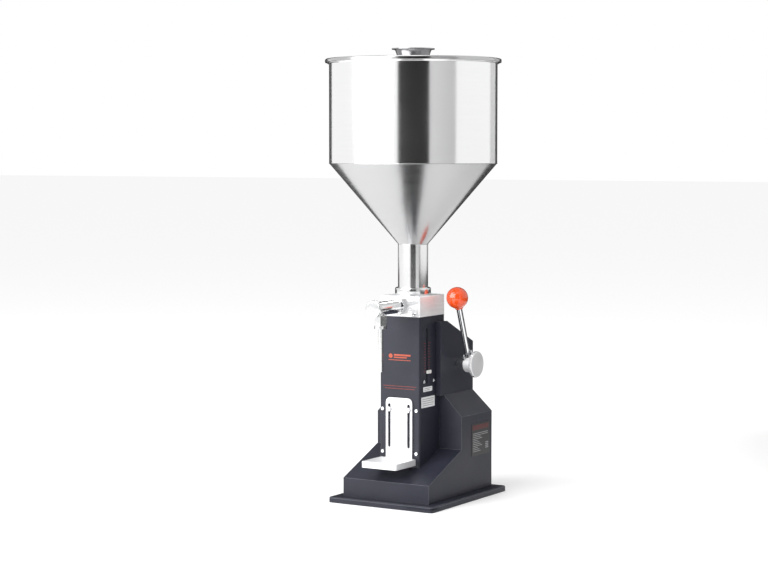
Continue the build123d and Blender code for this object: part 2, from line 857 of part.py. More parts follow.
# -------------------------------------------------------------------- hopper
def make_hopper_union_ring():
    top = block_top + union_ring_height
    ring = rod((0, 0, block_top), (0, 0, top), union_ring_radius)
    ring = chamfer(ring.faces().sort_by(Axis.Z)[-1].edges(), union_ring_chamfer)
    ring = chamfer(ring.faces().sort_by(Axis.Z)[0].edges(), union_ring_foot_chamfer)
    ferrule_top = neck_bottom + ferrule_thick + ferrule_gap
    ring -= rod((0, 0, block_top - 1), (0, 0, ferrule_top), union_spigot_radius + thread_gap)
    return ring - rod((0, 0, block_top), (0, 0, top + 1), hopper_neck_radius + thread_gap)


def make_hopper_gasket():
    low = block_top + union_spigot_height
    inner = hopper_neck_radius - hopper_wall
    return tube((0, 0, low), (0, 0, neck_bottom), ferrule_radius, inner)


def make_hopper_neck():
    neck = rod((0, 0, neck_bottom), (0, 0, neck_top), hopper_neck_radius)
    neck += rod((0, 0, neck_bottom), (0, 0, neck_bottom + ferrule_thick), ferrule_radius)
    return neck - rod((0, 0, neck_bottom - 1), (0, 0, neck_top + 1), hopper_neck_radius - hopper_wall)


def make_hopper_cone():
    run = hopper_radius - hopper_neck_radius
    wall_across = hopper_wall * math.hypot(run, hopper_cone_height) / hopper_cone_height
    outer = tapered((0, 0, neck_top), (0, 0, cone_top), hopper_neck_radius, hopper_radius)
    inner_low = hopper_neck_radius - wall_across
    inner_high = hopper_radius - wall_across
    return outer - tapered((0, 0, neck_top), (0, 0, cone_top), inner_low, inner_high)


def make_hopper_wall():
    wall = rod((0, 0, cone_top), (0, 0, hopper_top), hopper_radius)
    bead_low = hopper_top - hopper_bead_height
    bead = rod((0, 0, bead_low), (0, 0, hopper_top), hopper_radius + hopper_bead_width)
    bead = fillet(bead.edges().filter_by(GeomType.CIRCLE), hopper_bead_round)
    inner = rod((0, 0, cone_top - 1), (0, 0, hopper_top + 1), hopper_radius - hopper_wall)
    return wall + bead - inner


def make_lid():
    inner = hopper_radius + hopper_bead_width + lid_skirt_gap
    outer = inner + lid_sheet
    low = lid_top - lid_skirt_drop
    lid = rod((0, 0, low), (0, 0, lid_top), outer)
    lid = fillet(lid.faces().sort_by(Axis.Z)[-1].edges(), lid_edge_radius)
    lid -= rod((0, 0, low - 1), (0, 0, lid_underside), inner)
    return lid - rod((0, 0, lid_underside - 1), (0, 0, lid_top + 1), base_screw_radius + screw_hole_gap)


def make_lid_gasket():
    outer = hopper_radius + hopper_bead_width
    inner = hopper_radius - hopper_wall - lid_gasket_inset
    return tube((0, 0, hopper_top + lid_rest_gap), (0, 0, lid_underside), outer, inner)


def make_lid_knob():
    knob_bottom = lid_top + knob_stem_height
    knob_top = knob_bottom + knob_rim_thick
    flare = tapered((0, 0, lid_top), (0, 0, knob_bottom), knob_stem_radius, knob_flare_radius)
    rim = rod((0, 0, knob_bottom), (0, 0, knob_top), knob_radius)
    rim = fillet(rim.edges().filter_by(GeomType.CIRCLE), knob_rim_round)
    screw_end = lid_top + knob_screw_reach + knob_screw_end_gap
    return flare + rim - rod((0, 0, lid_top - 1), (0, 0, screw_end), base_screw_radius + screw_hole_gap)


def make_knob_screw():
    seat = (0, 0, lid_underside)
    reach = lid_sheet + knob_screw_reach
    return screw(
        seat, (0, 0, -1), base_screw_head_radius, knob_screw_head_height, base_screw_radius, reach
    )


# ------------------------------------------------------- cylinder and piston
def cylinder_screw_places():
    angles = [45 + 90 * k for k in range(4)]
    return [
        (cylinder_screw_circle * math.cos(math.radians(a)), cylinder_screw_circle * math.sin(math.radians(a)))
        for a in angles
    ]


def make_cylinder_tube():
    outer = cylinder_bore_radius + cylinder_wall
    body = rod((0, 0, cylinder_bottom), (0, 0, cylinder_top), outer)
    body += rod((0, 0, cylinder_top - cylinder_flange_thick), (0, 0, cylinder_top), cylinder_flange_radius)
    body -= rod((0, 0, cylinder_bottom - 1), (0, 0, cylinder_top + 1), cylinder_bore_radius)
    lead_radius = cylinder_bore_radius + cylinder_lead_in
    lead_top = cylinder_bottom + cylinder_lead_length
    body -= tapered((0, 0, cylinder_bottom), (0, 0, lead_top), lead_radius, cylinder_bore_radius)
    for x, y in cylinder_screw_places():
        radius = small_shank_radius + screw_hole_gap
        body -= rod((x, y, cylinder_top - cylinder_flange_thick - 1), (x, y, cylinder_top + 1), radius)
    return body


def make_cylinder_screws():
    seat_z = cylinder_top - cylinder_flange_thick
    reach = cylinder_flange_thick + cylinder_screw_grip
    solids = [
        screw((x, y, seat_z), (0, 0, -1), small_head_radius, small_head_radius, small_shank_radius, reach)
        for x, y in cylinder_screw_places()
    ]
    return Compound(children=solids)


def seal_heights():
    """Lower edges of the two seal grooves."""
    return [piston_bottom + share * piston_height for share in (lower_seal_share, upper_seal_share)]


def make_piston():
    outer = cylinder_bore_radius - piston_gap
    piston = rod((0, 0, piston_bottom), (0, 0, piston_top), outer)
    piston = chamfer(piston.faces().sort_by(Axis.Z)[-1].edges(), piston_edge_chamfer)
    for low in seal_heights():
        piston -= tube((0, 0, low), (0, 0, low + seal_height), outer + 1, cylinder_bore_radius - seal_depth)
    bore_top = piston_bottom + rod_screw_in
    return piston - rod((0, 0, piston_bottom - 1), (0, 0, bore_top), piston_rod_radius + keyed_gap)


def make_piston_seals():
    rings = []
    for low in seal_heights():
        outer = cylinder_bore_radius - seal_gap
        start = (0, 0, low + seal_side_gap)
        end = (0, 0, low + seal_height - seal_side_gap)
        rings.append(tube(start, end, outer, cylinder_bore_radius - seal_depth + keyed_gap))
    return Compound(children=rings)


def make_piston_rod():
    return rod((0, 0, crosshead_bottom), (0, 0, piston_bottom + rod_screw_in), piston_rod_radius)


def rack_front_y():
    """The rack's back face, which meets the crosshead."""
    return pitch_line_y - tooth_module * dedendum_share - rack_body_depth


def make_crosshead():
    half = crosshead_half_width
    span_z = (crosshead_bottom, crosshead_top)
    head = block((-half, half), (-half, rack_front_y()), span_z)
    arm_front = stop_rod_y - stop_rod_radius - crosshead_arm_front_margin
    arm_rear = stop_rod_y + crosshead_arm_rear_margin
    head += block((-half, crosshead_arm_reach), (arm_front, arm_rear), span_z)
    head += block((-half, half), (stop_rod_y, 0), span_z)
    head -= rod((0, 0, crosshead_bottom - 1), (0, 0, crosshead_top + 1), piston_rod_radius + keyed_gap)
    place = (stop_rod_x, stop_rod_y)
    head -= rod((*place, crosshead_bottom - 1), (*place, crosshead_top + 1), stop_rod_radius + keyed_gap)
    for z in rack_screw_heights():
        y = rack_front_y()
        head -= rod((0, y - rack_screw_grip - 1, z), (0, y + 1, z), small_shank_radius + screw_hole_gap)
    return head


def make_stop_rod():
    place = (stop_rod_x, stop_rod_y)
    bar = rod((*place, crosshead_bottom), (*place, stop_head_bottom + 1), stop_rod_radius)
    head_top = stop_head_bottom + stop_head_height
    return bar + rod((*place, stop_head_bottom), (*place, head_top), stop_head_radius)


# ------------------------------------------------------------ rack and gear
def rack_screw_heights():
    shares = (crosshead_low_screw_share, crosshead_high_screw_share)
    return [crosshead_bottom + crosshead_thick * share for share in shares]


def make_rack():
    addendum = tooth_module
    dedendum = tooth_module * dedendum_share
    spread = math.tan(math.radians(pressure_angle))
    half_pitch_tooth = tooth_pitch / 4 - tooth_backlash / 4
    half_tip = half_pitch_tooth - addendum * spread
    half_root = half_pitch_tooth + dedendum * spread
    back = rack_front_y()
    root = pitch_line_y - dedendum
    tip = pitch_line_y + addendum
    top = shaft_z + (rack_teeth_above + 0.5) * tooth_pitch
    outline = [(back, crosshead_bottom), (root, crosshead_bottom)]
    for k in range(-rack_teeth_below, rack_teeth_above + 1):
        z = shaft_z + k * tooth_pitch
        outline += [(root, z - half_root), (tip, z - half_tip), (tip, z + half_tip), (root, z + half_root)]
    outline += [(root, top), (back, top)]
    rack = side_profile(outline, rack_width / 2)
    for z in rack_screw_heights():
        rack -= rod((0, back - 1, z), (0, root + 1, z), small_shank_radius + screw_hole_gap)
    return rack


def make_rack_screws():
    root = pitch_line_y - tooth_module * dedendum_share
    reach = rack_body_depth + rack_screw_grip
    solids = [
        screw((0, root, z), (0, 1, 0), small_head_radius, small_head_height, small_shank_radius, reach)
        for z in rack_screw_heights()
    ]
    return Compound(children=solids)


def pinion_outline():
    """Involute tooth outline, with a gap facing the rack."""
    base_radius = pitch_radius * math.cos(math.radians(pressure_angle))
    tip_radius = pitch_radius + tooth_module
    root_radius = pitch_radius - tooth_module * dedendum_share
    step = 2 * math.pi / pinion_teeth
    pitch_angle = math.radians(pressure_angle)
    pitch_involute = math.tan(pitch_angle) - pitch_angle
    half_tooth = (tooth_pitch / 2 - tooth_backlash / 2) / (2 * pitch_radius)
    flank_points = 6
    flank = []
    for i in range(flank_points + 1):
        radius = base_radius + (tip_radius - base_radius) * i / flank_points
        roll = math.acos(min(1.0, base_radius / radius))
        flank.append((radius, half_tooth + pitch_involute - (math.tan(roll) - roll)))
    points = []
    for k in range(pinion_teeth):
        middle = math.pi + (k + 0.5) * step
        side = [(root_radius, flank[0][1])] + flank
        for radius, offset in side:
            points.append((radius, middle - offset))
        for radius, offset in reversed(side):
            points.append((radius, middle + offset))
    return [(shaft_y + r * math.cos(a), shaft_z + r * math.sin(a)) for r, a in points]


def key_block(x_span):
    """The key and its seat, on the shaft's upper side."""
    low = shaft_z + shaft_radius - key_height / 2
    half = key_width / 2
    return block(x_span, (shaft_y - half, shaft_y + half), (low, low + key_height))


def make_pinion():
    gear = side_profile(pinion_outline(), pinion_face / 2)
    hub_end = pinion_face / 2 + pinion_hub_length
    centre = (shaft_y, shaft_z)
    gear += rod((0, *centre), (hub_end, *centre), pinion_hub_radius)
    gear -= rod((-pinion_face, *centre), (hub_end + 1, *centre), shaft_radius + keyed_gap)
    return gear - key_block((-pinion_face, hub_end + 1))


def make_pinion_key():
    return key_block((-pinion_face / 2, pinion_face / 2 + pinion_hub_length))


def make_lever_shaft():
    centre = (shaft_y, shaft_z)
    shaft = rod((-shaft_left_reach, *centre), (hub_end_x, *centre), shaft_radius)
    shaft = chamfer(shaft.edges().filter_by(GeomType.CIRCLE), shaft_end_chamfer)
    return shaft - key_block((-pinion_face / 2, pinion_face / 2 + pinion_hub_length))


def make_shaft_collars():
    centre = (shaft_y, shaft_z)
    right_end = half_housing - bearing_inner_reach - bearing_flange_thick - shaft_collar_side_gap
    left_end = -(half_housing - housing_wall - bearing_flange_thick - shaft_collar_side_gap)
    collars = []
    for start in (left_end, right_end - shaft_collar_width):
        end = (start + shaft_collar_width, *centre)
        collars.append(tube((start, *centre), end, shaft_collar_radius, shaft_radius + keyed_gap))
    return Compound(children=collars)


def make_shaft_bearing_right():
    """Flanged bush with the long boss that carries the lever side."""
    centre = (shaft_y, shaft_z)
    inner_end = half_housing - bearing_inner_reach
    outer_end = half_housing + bearing_boss_reach
    bush = rod((inner_end, *centre), (outer_end, *centre), bearing_radius)
    bush = chamfer(bush.faces().sort_by(Axis.X)[-1].edges(), shaft_end_chamfer)
    bush += rod((inner_end - bearing_flange_thick, *centre), (inner_end, *centre), bearing_flange_radius)
    return bush - rod((0, *centre), (outer_end + 1, *centre), shaft_radius + running_gap)


def make_shaft_bearing_left():
    centre = (shaft_y, shaft_z)
    outer_end = -(half_housing + left_bearing_reach)
    inner = -(half_housing - housing_wall)
    bush = rod((outer_end, *centre), (inner, *centre), bearing_radius)
    bush += rod((inner, *centre), (inner + bearing_flange_thick, *centre), bearing_flange_radius)
    return bush - rod((outer_end - 1, *centre), (0, *centre), shaft_radius + running_gap)


# --------------------------------------------------------------------- lever
def lever_point(distance, x=lever_x):
    """A point at a distance from the shaft's axis, along the leaning lever."""
    lean = math.radians(lever_lean)
    return (x, shaft_y - distance * math.sin(lean), shaft_z + distance * math.cos(lean))


def beside_lever(distance, x, offset):
    """A point level with one on the lever, moved forward at a right angle to it."""
    lean = math.radians(lever_lean)
    _, y, z = lever_point(distance, x)
    return (x, y - offset * math.cos(lean), z - offset * math.sin(lean))


def set_screw_runs():
    """Start and end of two clamping screws: one past the shaft's front, one against its top."""
    pinch_x = hub_start_x + set_screw_inset
    pinch_offset = shaft_radius + pinch_screw_gap
    top_x = hub_end_x - set_screw_inset
    top_start = shaft_radius + top_screw_gap
    pinch = [beside_lever(reach, pinch_x, pinch_offset) for reach in (pinch_screw_start, pinch_screw_end)]
    top = [beside_lever(reach, top_x, top_screw_offset) for reach in (top_start, top_screw_end)]
    return [pinch, top]


def make_lever_hub():
    centre = (shaft_y, shaft_z)
    hub = rod((hub_start_x, *centre), (hub_end_x, *centre), hub_radius)
    hub = chamfer(hub.faces().sort_by(Axis.X)[0].edges(), hub_chamfer)
    hub -= rod((hub_start_x - 1, *centre), (hub_end_x + 1, *centre), shaft_radius + keyed_gap)
    hub -= rod(lever_point(0), lever_point(hub_radius + 2), lever_rod_radius + keyed_gap)
    for start, end in set_screw_runs():
        hub -= rod(start, end, set_screw_radius + keyed_gap)
    return hub


def make_hub_set_screws():
    solids = []
    for start, end in set_screw_runs():
        screw_body = rod(start, end, set_screw_radius)
        outward = (Vector(*end) - Vector(*start)).normalized()
        socket_floor = Vector(*end) - outward * set_screw_socket_depth
        socket = hexagon(tuple(socket_floor), tuple(Vector(*end) + outward), set_screw_radius)
        solids.append(screw_body - socket)
    return Compound(children=solids)


def make_lever_end_disc():
    start = (hub_end_x, shaft_y, shaft_z)
    end = (hub_end_x + end_disc_thick, shaft_y, shaft_z)
    disc = rod(start, end, end_disc_radius)
    return chamfer(disc.edges().filter_by(GeomType.CIRCLE), end_disc_chamfer)


def make_lever_rod():
    foot = lever_point(shaft_radius + lever_rod_foot_gap)
    head = lever_point(lever_length - lever_ball_radius + lever_rod_in_ball)
    return rod(foot, head, lever_rod_radius)


def make_lever_ball():
    ball = Pos(*lever_point(lever_length)) * Sphere(lever_ball_radius)
    ball_edge = lever_length - lever_ball_radius
    collar_start = lever_point(ball_edge - ball_collar_drop)
    collar_end = lever_point(ball_edge + ball_collar_rise)
    collar = rod(collar_start, collar_end, lever_rod_radius + ball_collar_width)
    bore_end = lever_point(ball_edge + lever_rod_in_ball + lever_rod_end_gap)
    bore = rod(lever_point(ball_edge - ball_collar_drop - 1), bore_end, lever_rod_radius + keyed_gap)
    return ball + collar - bore


# ---------------------------------------------------------------------- stop
def make_stop_block():
    wall_face = half_column - column_wall - stop_block_wall_gap
    back = stop_rod_x - stop_rod_radius - stop_block_side_margin
    span_y = (stop_rod_y - stop_block_front_margin, slot_y + stop_block_rear_margin)
    low = stop_centre_z - stop_block_height / 2
    body = block((back, wall_face), span_y, (low, stop_block_top))
    place = (stop_rod_x, stop_rod_y)
    body -= rod((*place, low - 1), (*place, stop_block_top + 1), stop_rod_radius + stop_hole_gap)
    hole = slot_width / 2 - stop_screw_gap + keyed_gap
    hole_end = wall_face - stop_screw_depth - screw_end_gap
    return body - rod((hole_end, slot_y, stop_centre_z), (half_column, slot_y, stop_centre_z), hole)


def make_stop_pointer():
    face = half_column + pointer_gap
    span_z = (stop_centre_z - pointer_height / 2, stop_centre_z + pointer_height / 2)
    plate = block((face, face + pointer_thick), (slot_y - pointer_height / 2, slot_y + pointer_reach), span_z)
    plate = fillet(plate.edges().filter_by(Axis.X), pointer_corner)
    hole = slot_width / 2 - stop_screw_gap + keyed_gap
    centre = (slot_y, stop_centre_z)
    return plate - rod((face - 1, *centre), (face + pointer_thick + 1, *centre), hole)


def make_stop_screw():
    seat_gap = pointer_gap + pointer_thick
    seat = (half_column + seat_gap, slot_y, stop_centre_z)
    reach = seat_gap + column_wall + stop_block_wall_gap + stop_screw_depth
    shank = slot_width / 2 - stop_screw_gap
    return screw(seat, (1, 0, 0), stop_screw_head_radius, stop_screw_head_height, shank, reach)


# ---------------------------------------------------------------------- tray
def make_tray():
    back = column_front_y - strap_gap
    front = back - tray_reach
    top = plate_thick + tray_top_height
    low = top - tray_lip_depth
    strap_top = plate_thick + strap_top_height
    strap = block((-strap_half_width, strap_half_width), (back - strap_thick, back), (low, strap_top))
    upper = strap.edges().filter_by(Axis.Y).group_by(Axis.Z)[-1]
    strap = fillet(upper, strap_corner)
    slot_low = plate_thick + strap_slot_bottom_height
    slot_high = plate_thick + strap_slot_top_height
    for x in (-strap_slot_x, strap_slot_x):
        centre = (x, back, (slot_low + slot_high) / 2)
        strap -= capped_slot(
            centre, slot_high - slot_low, strap_slot_width, strap_thick + 1, (0, 0, 1), (0, 1, 0)
        )
    half = tray_half_width
    wing_rear = back - tray_rear_relief
    pan = block((-half, half), (front, wing_rear), (low, top))
    pan = fillet(pan.edges().filter_by(Axis.Z).group_by(Axis.Y)[0], tray_front_corner)
    hollow_half = half - tray_sheet
    hollow_y = (front + tray_sheet, wing_rear + 1)
    pan -= block((-hollow_half, hollow_half), hollow_y, (low - 1, top - tray_sheet))
    bridge = block((-strap_half_width, strap_half_width), (wing_rear - 1, back), (top - tray_sheet, top))
    return pan + bridge + strap


def make_tray_clamp_screws():
    face = column_front_y - strap_gap - strap_thick - clamp_head_gap
    z = plate_thick + clamp_screw_height
    reach = strap_gap + strap_thick + clamp_head_gap + column_wall
    solids = [
        screw((x, face, z), (0, -1, 0), clamp_head_radius, clamp_head_height, clamp_shank_radius, reach)
        for x in (-strap_slot_x, strap_slot_x)
    ]
    return Compound(children=solids)


# -------------------------------------------------------------------- labels
def side_label(face_x, front, foot, width, height):
    """A film label on a side face; its foot is a height above the base plate."""
    low = plate_thick + foot
    plate = block((face_x, face_x + label_thick), (front, front + width), (low, low + height))
    return fillet(plate.edges().filter_by(Axis.X), label_corner)


def make_rating_label():
    front = body_rear - rating_label_rear_gap - rating_label_width
    return side_label(body_width / 2, front, rating_label_foot, rating_label_width, rating_label_height)


def make_volume_label():
    front = column_front_y + volume_label_front_gap
    return side_label(half_column, front, volume_label_foot, volume_label_width, volume_label_height)


def make_notice_label():
    front = column_front_y + notice_label_front_gap
    return side_label(half_column, front, notice_label_foot, notice_label_width, notice_label_height)


nodes = {
    "base_plate": make_base_plate,
    "base_screws": make_base_screws,
    "lower_body": make_lower_body,
    "upper_housing": make_upper_housing,
    "rear_cover": make_rear_cover,
    "rear_cover_screws": make_rear_cover_screws,
    "column": make_column,
    "column_face_screws": make_column_face_screws,
    "guide_plate": make_guide_plate,
    "guide_bush": make_guide_bush,
    "guide_plate_screws": make_guide_plate_screws,
    "valve_block": make_valve_block,
    "block_screws": make_block_screws,
    "inlet_seat": make_inlet_seat,
    "inlet_ball": make_inlet_ball,
    "inlet_spring": make_inlet_spring,
    "outlet_body": make_outlet_body,
    "outlet_union_nut": make_outlet_union_nut,
    "outlet_ball": make_outlet_ball,
    "outlet_spring": make_outlet_spring,
    "outlet_cap": make_outlet_cap,
    "nozzle_nut": make_nozzle_nut,
    "nozzle_tube": make_nozzle_tube,
    "hopper_union_ring": make_hopper_union_ring,
    "hopper_gasket": make_hopper_gasket,
    "hopper_neck": make_hopper_neck,
    "hopper_cone": make_hopper_cone,
    "hopper_wall": make_hopper_wall,
    "lid": make_lid,
    "lid_gasket": make_lid_gasket,
    "lid_knob": make_lid_knob,
    "knob_screw": make_knob_screw,
    "cylinder_tube": make_cylinder_tube,
    "cylinder_screws": make_cylinder_screws,
    "piston": make_piston,
    "piston_seals": make_piston_seals,
    "piston_rod": make_piston_rod,
    "crosshead": make_crosshead,
    "stop_rod": make_stop_rod,
    "rack": make_rack,
    "rack_screws": make_rack_screws,
    "pinion": make_pinion,
    "pinion_key": make_pinion_key,
    "lever_shaft": make_lever_shaft,
    "shaft_collars": make_shaft_collars,
    "shaft_bearing_right": make_shaft_bearing_right,
    "shaft_bearing_left": make_shaft_bearing_left,
    "lever_hub": make_lever_hub,
    "hub_set_screws": make_hub_set_screws,
    "lever_end_disc": make_lever_end_disc,
    "lever_rod": make_lever_rod,
    "lever_ball": make_lever_ball,
    "stop_block": make_stop_block,
    "stop_pointer": make_stop_pointer,
    "stop_screw": make_stop_screw,
    "tray": make_tray,
    "tray_clamp_screws": make_tray_clamp_screws,
    "rating_label": make_rating_label,
    "volume_label": make_volume_label,
    "notice_label": make_notice_label,
}

os.makedirs("parts", exist_ok=True)
for name, make in nodes.items():
    export_step(make(), "parts/" + name + ".step")
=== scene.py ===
import json
import math

import bmesh
import bpy
from mathutils import Matrix, Vector


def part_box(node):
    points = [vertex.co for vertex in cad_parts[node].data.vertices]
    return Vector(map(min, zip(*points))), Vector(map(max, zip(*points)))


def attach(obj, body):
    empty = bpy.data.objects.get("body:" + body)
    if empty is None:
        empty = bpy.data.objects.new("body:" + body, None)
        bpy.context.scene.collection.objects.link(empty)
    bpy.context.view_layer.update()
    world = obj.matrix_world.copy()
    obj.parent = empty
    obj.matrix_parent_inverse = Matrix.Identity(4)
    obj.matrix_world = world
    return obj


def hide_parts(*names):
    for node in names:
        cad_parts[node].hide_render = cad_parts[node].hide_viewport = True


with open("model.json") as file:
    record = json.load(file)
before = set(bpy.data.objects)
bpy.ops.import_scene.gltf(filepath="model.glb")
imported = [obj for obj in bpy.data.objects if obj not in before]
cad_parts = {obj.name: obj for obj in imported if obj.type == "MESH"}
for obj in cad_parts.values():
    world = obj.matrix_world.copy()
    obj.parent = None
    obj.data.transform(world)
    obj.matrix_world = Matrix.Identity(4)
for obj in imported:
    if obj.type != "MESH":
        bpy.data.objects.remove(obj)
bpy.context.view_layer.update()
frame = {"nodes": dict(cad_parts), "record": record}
MM = 0.001


# ------------------------------------------------------------- shader maths
class Field:
    """A number or vector that varies over a surface; an expression on it adds Math nodes."""

    def __init__(self, shade, socket):
        self.shade = shade
        self.socket = socket

    def _math(self, operation, first, second):
        return self.shade.node("ShaderNodeMath", {"operation": operation}, {0: first, 1: second})

    def __add__(self, other):
        return self._math("ADD", self, other)

    def __radd__(self, other):
        return self._math("ADD", other, self)

    def __sub__(self, other):
        return self._math("SUBTRACT", self, other)

    def __rsub__(self, other):
        return self._math("SUBTRACT", other, self)

    def __mul__(self, other):
        return self._math("MULTIPLY", self, other)

    def __rmul__(self, other):
        return self._math("MULTIPLY", other, self)


class Shade:
    """One material, with a principled shader at its end."""

    def __init__(self, name):
        self.material = bpy.data.materials.new(name)
        self.material.use_nodes = True
        self.tree = self.material.node_tree
        self.surface = next(n for n in self.tree.nodes if n.type == "BSDF_PRINCIPLED")
        self.place = self.node("ShaderNodeTexCoord", output="Object")

    def node(self, kind, settings=None, inputs=None, output=0):
        made = self.tree.nodes.new(kind)
        for key, setting in (settings or {}).items():
            if key == "stops":
                self._fill_ramp(made.color_ramp, setting)
            else:
                setattr(made, key, setting)
        for key, value in (inputs or {}).items():
            self._feed(made.inputs[key], value)
        return Field(self, made.outputs[output])

    def _fill_ramp(self, ramp, stops):
        while len(ramp.elements) < len(stops):
            ramp.elements.new(0.5)
        for element, (position, colour) in zip(ramp.elements, stops):
            element.position = position
            element.color = (*colour, 1)

    def _feed(self, socket, value):
        if isinstance(value, Field):
            self.tree.links.new(value.socket, socket)
        else:
            socket.default_value = value

    def stretched(self, scale):
        return self.node("ShaderNodeMapping", {}, {"Vector": self.place, "Scale": scale})

    def noise(self, scale, detail=3.0, stretch=(1, 1, 1)):
        inputs = {"Vector": self.stretched(stretch), "Scale": scale, "Detail": detail}
        return self.node("ShaderNodeTexNoise", {}, inputs)

    def spread(self, field, low, high, start=0.3, end=0.7):
        """Maps a field's middle range onto low to high."""
        inputs = {"Value": field, "From Min": start, "From Max": end, "To Min": low, "To Max": high}
        return self.node("ShaderNodeMapRange", {}, inputs)

    def colours(self, field, first, second):
        settings = {"data_type": "RGBA"}
        inputs = {0: field, 6: (*first, 1), 7: (*second, 1)}
        return self.node("ShaderNodeMix", settings, inputs, output=2)

    def tinted(self, field, first, second):
        """Mixes two colours that may themselves be fields."""
        def whole(colour):
            return colour if isinstance(colour, Field) else (*colour, 1)
        inputs = {0: field, 6: whole(first), 7: whole(second)}
        return self.node("ShaderNodeMix", {"data_type": "RGBA"}, inputs, output=2)

    def relief(self, height, depth, strength=1.0):
        inputs = {"Height": height, "Distance": depth, "Strength": strength}
        return self.node("ShaderNodeBump", {}, inputs)

    def finish(self, **sockets):
        for key, value in sockets.items():
            self._feed(self.surface.inputs[key.replace("_", " ")], value)
        return self.material


# ---------------------------------------------------------------- materials
def powder_paint(name, dark, light, rough=0.42):
    """Satin powder coat: fine orange peel, cloudy gloss and a few rubbed spots."""
    shade = Shade(name)
    peel = shade.noise(900.0, 2.0)
    clouds = shade.noise(14.0, 4.0)
    rubs = shade.spread(shade.noise(55.0, 6.0), 0.0, 1.0, 0.62, 0.78)
    colour = shade.colours(shade.spread(clouds, 0.0, 1.0), dark, light)
    colour = shade.tinted(rubs * 0.25, colour, tuple(c * 1.5 for c in light))
    gloss = shade.spread(clouds, rough - 0.05, rough + 0.07) - rubs * 0.06
    return shade.finish(
        Base_Color=colour, Roughness=gloss, Normal=shade.relief(peel, 0.00006, 0.6), Specular_IOR_Level=0.36
    )


def brushed_steel(name, tone, rough, line_scale, stretch, wear=0.04, contrast=0.14, grain=0.35):
    """Stainless steel with fine grinding lines that run across the stretched axis."""
    shade = Shade(name)
    lines = shade.noise(line_scale, 2.0, stretch)
    broad = shade.noise(line_scale * 0.23, 3.0, stretch)
    smears = shade.noise(9.0, 4.0)
    mix = lines * 0.6 + broad * 0.4
    colour = shade.colours(shade.spread(mix, 0.0, 1.0), tuple(t * (1 - contrast) for t in tone), tone)
    gloss = shade.spread(mix, rough - wear, rough + wear) + shade.spread(smears, -wear, wear)
    return shade.finish(
        Base_Color=colour, Metallic=1.0, Roughness=gloss, Normal=shade.relief(mix, 0.00002, grain)
    )


def polished_metal(name, tone, rough=0.11):
    """Buffed metal: faint swirls, handling marks and tiny scratches."""
    shade = Shade(name)
    swirl = shade.noise(70.0, 5.0, (1, 1, 3))
    marks = shade.spread(shade.noise(26.0, 6.0), 0.0, 1.0, 0.52, 0.72)
    scratches = shade.noise(1500.0, 1.0, (1, 0.05, 0.4))
    gloss = shade.spread(swirl, rough - 0.03, rough + 0.05) + marks * 0.07
    colour = shade.colours(marks, tone, tuple(t * 0.93 for t in tone))
    return shade.finish(
        Base_Color=colour, Metallic=1.0, Roughness=gloss, Normal=shade.relief(scratches, 0.00001, 0.25)
    )


def moulded_plastic(name, tone, deep, rough=0.16, coat=0.6):
    """Moulded plastic with a slightly uneven gloss and colour."""
    shade = Shade(name)
    flow = shade.noise(60.0, 4.0)
    dust = shade.noise(900.0, 2.0)
    colour = shade.colours(shade.spread(flow, 0.0, 1.0), deep, tone)
    return shade.finish(
        Base_Color=colour, Roughness=shade.spread(flow, rough - 0.04, rough + 0.08), Coat_Weight=coat,
        Coat_Roughness=0.08, Normal=shade.relief(dust, 0.00001, 0.3)
    )


def matt_stock(name, tone, rough, grain, depth=0.00004):
    """Rubber, film and printing ink: an even matt surface with a fine grain."""
    shade = Shade(name)
    fine = shade.noise(grain, 3.0)
    broad = shade.noise(grain * 0.04, 3.0)
    colour = shade.colours(shade.spread(broad, 0.0, 1.0), tuple(t * 0.82 for t in tone), tone)
    return shade.finish(
        Base_Color=colour, Roughness=shade.spread(fine, rough - 0.06, rough + 0.06),
        Normal=shade.relief(fine, depth, 0.5)
    )


def faced_block(name, tone, front, rough, polish):
    """Satin stainless block whose front face is buffed almost to a mirror."""
    shade = Shade(name)
    lines = shade.noise(40.0, 2.0, (1, 1, 14))
    smears = shade.noise(14.0, 4.0)
    depth = shade.node("ShaderNodeSeparateXYZ", {}, {"Vector": shade.place}, output="Y")
    buffed = shade.spread(depth, 1.0, 0.0, front, front + 0.5 * MM)
    colour = shade.colours(shade.spread(lines, 0.0, 1.0), tuple(t * 0.92 for t in tone), tone)
    satin = shade.spread(lines, rough - 0.04, rough + 0.04)
    gloss = satin - buffed * (rough - polish) + shade.spread(smears, -0.03, 0.03)
    return shade.finish(
        Base_Color=colour, Metallic=0.55, Roughness=gloss, Normal=shade.relief(lines, 0.00001, 0.25)
    )


def bead_blasted(name, tone):
    """Fine blasted aluminium with a pearly even sheen and a few polished rubs."""
    shade = Shade(name)
    beads = shade.noise(2400.0, 2.0)
    cloud = shade.noise(22.0, 4.0)
    rubs = shade.spread(shade.noise(40.0, 6.0), 0.0, 1.0, 0.60, 0.75)
    colour = shade.colours(shade.spread(cloud, 0.0, 1.0), tuple(t * 0.93 for t in tone), tone)
    gloss = shade.spread(cloud, 0.42, 0.52) - rubs * 0.10
    return shade.finish(
        Base_Color=colour, Metallic=0.55, Roughness=gloss, Normal=shade.relief(beads, 0.00003, 0.5)
    )


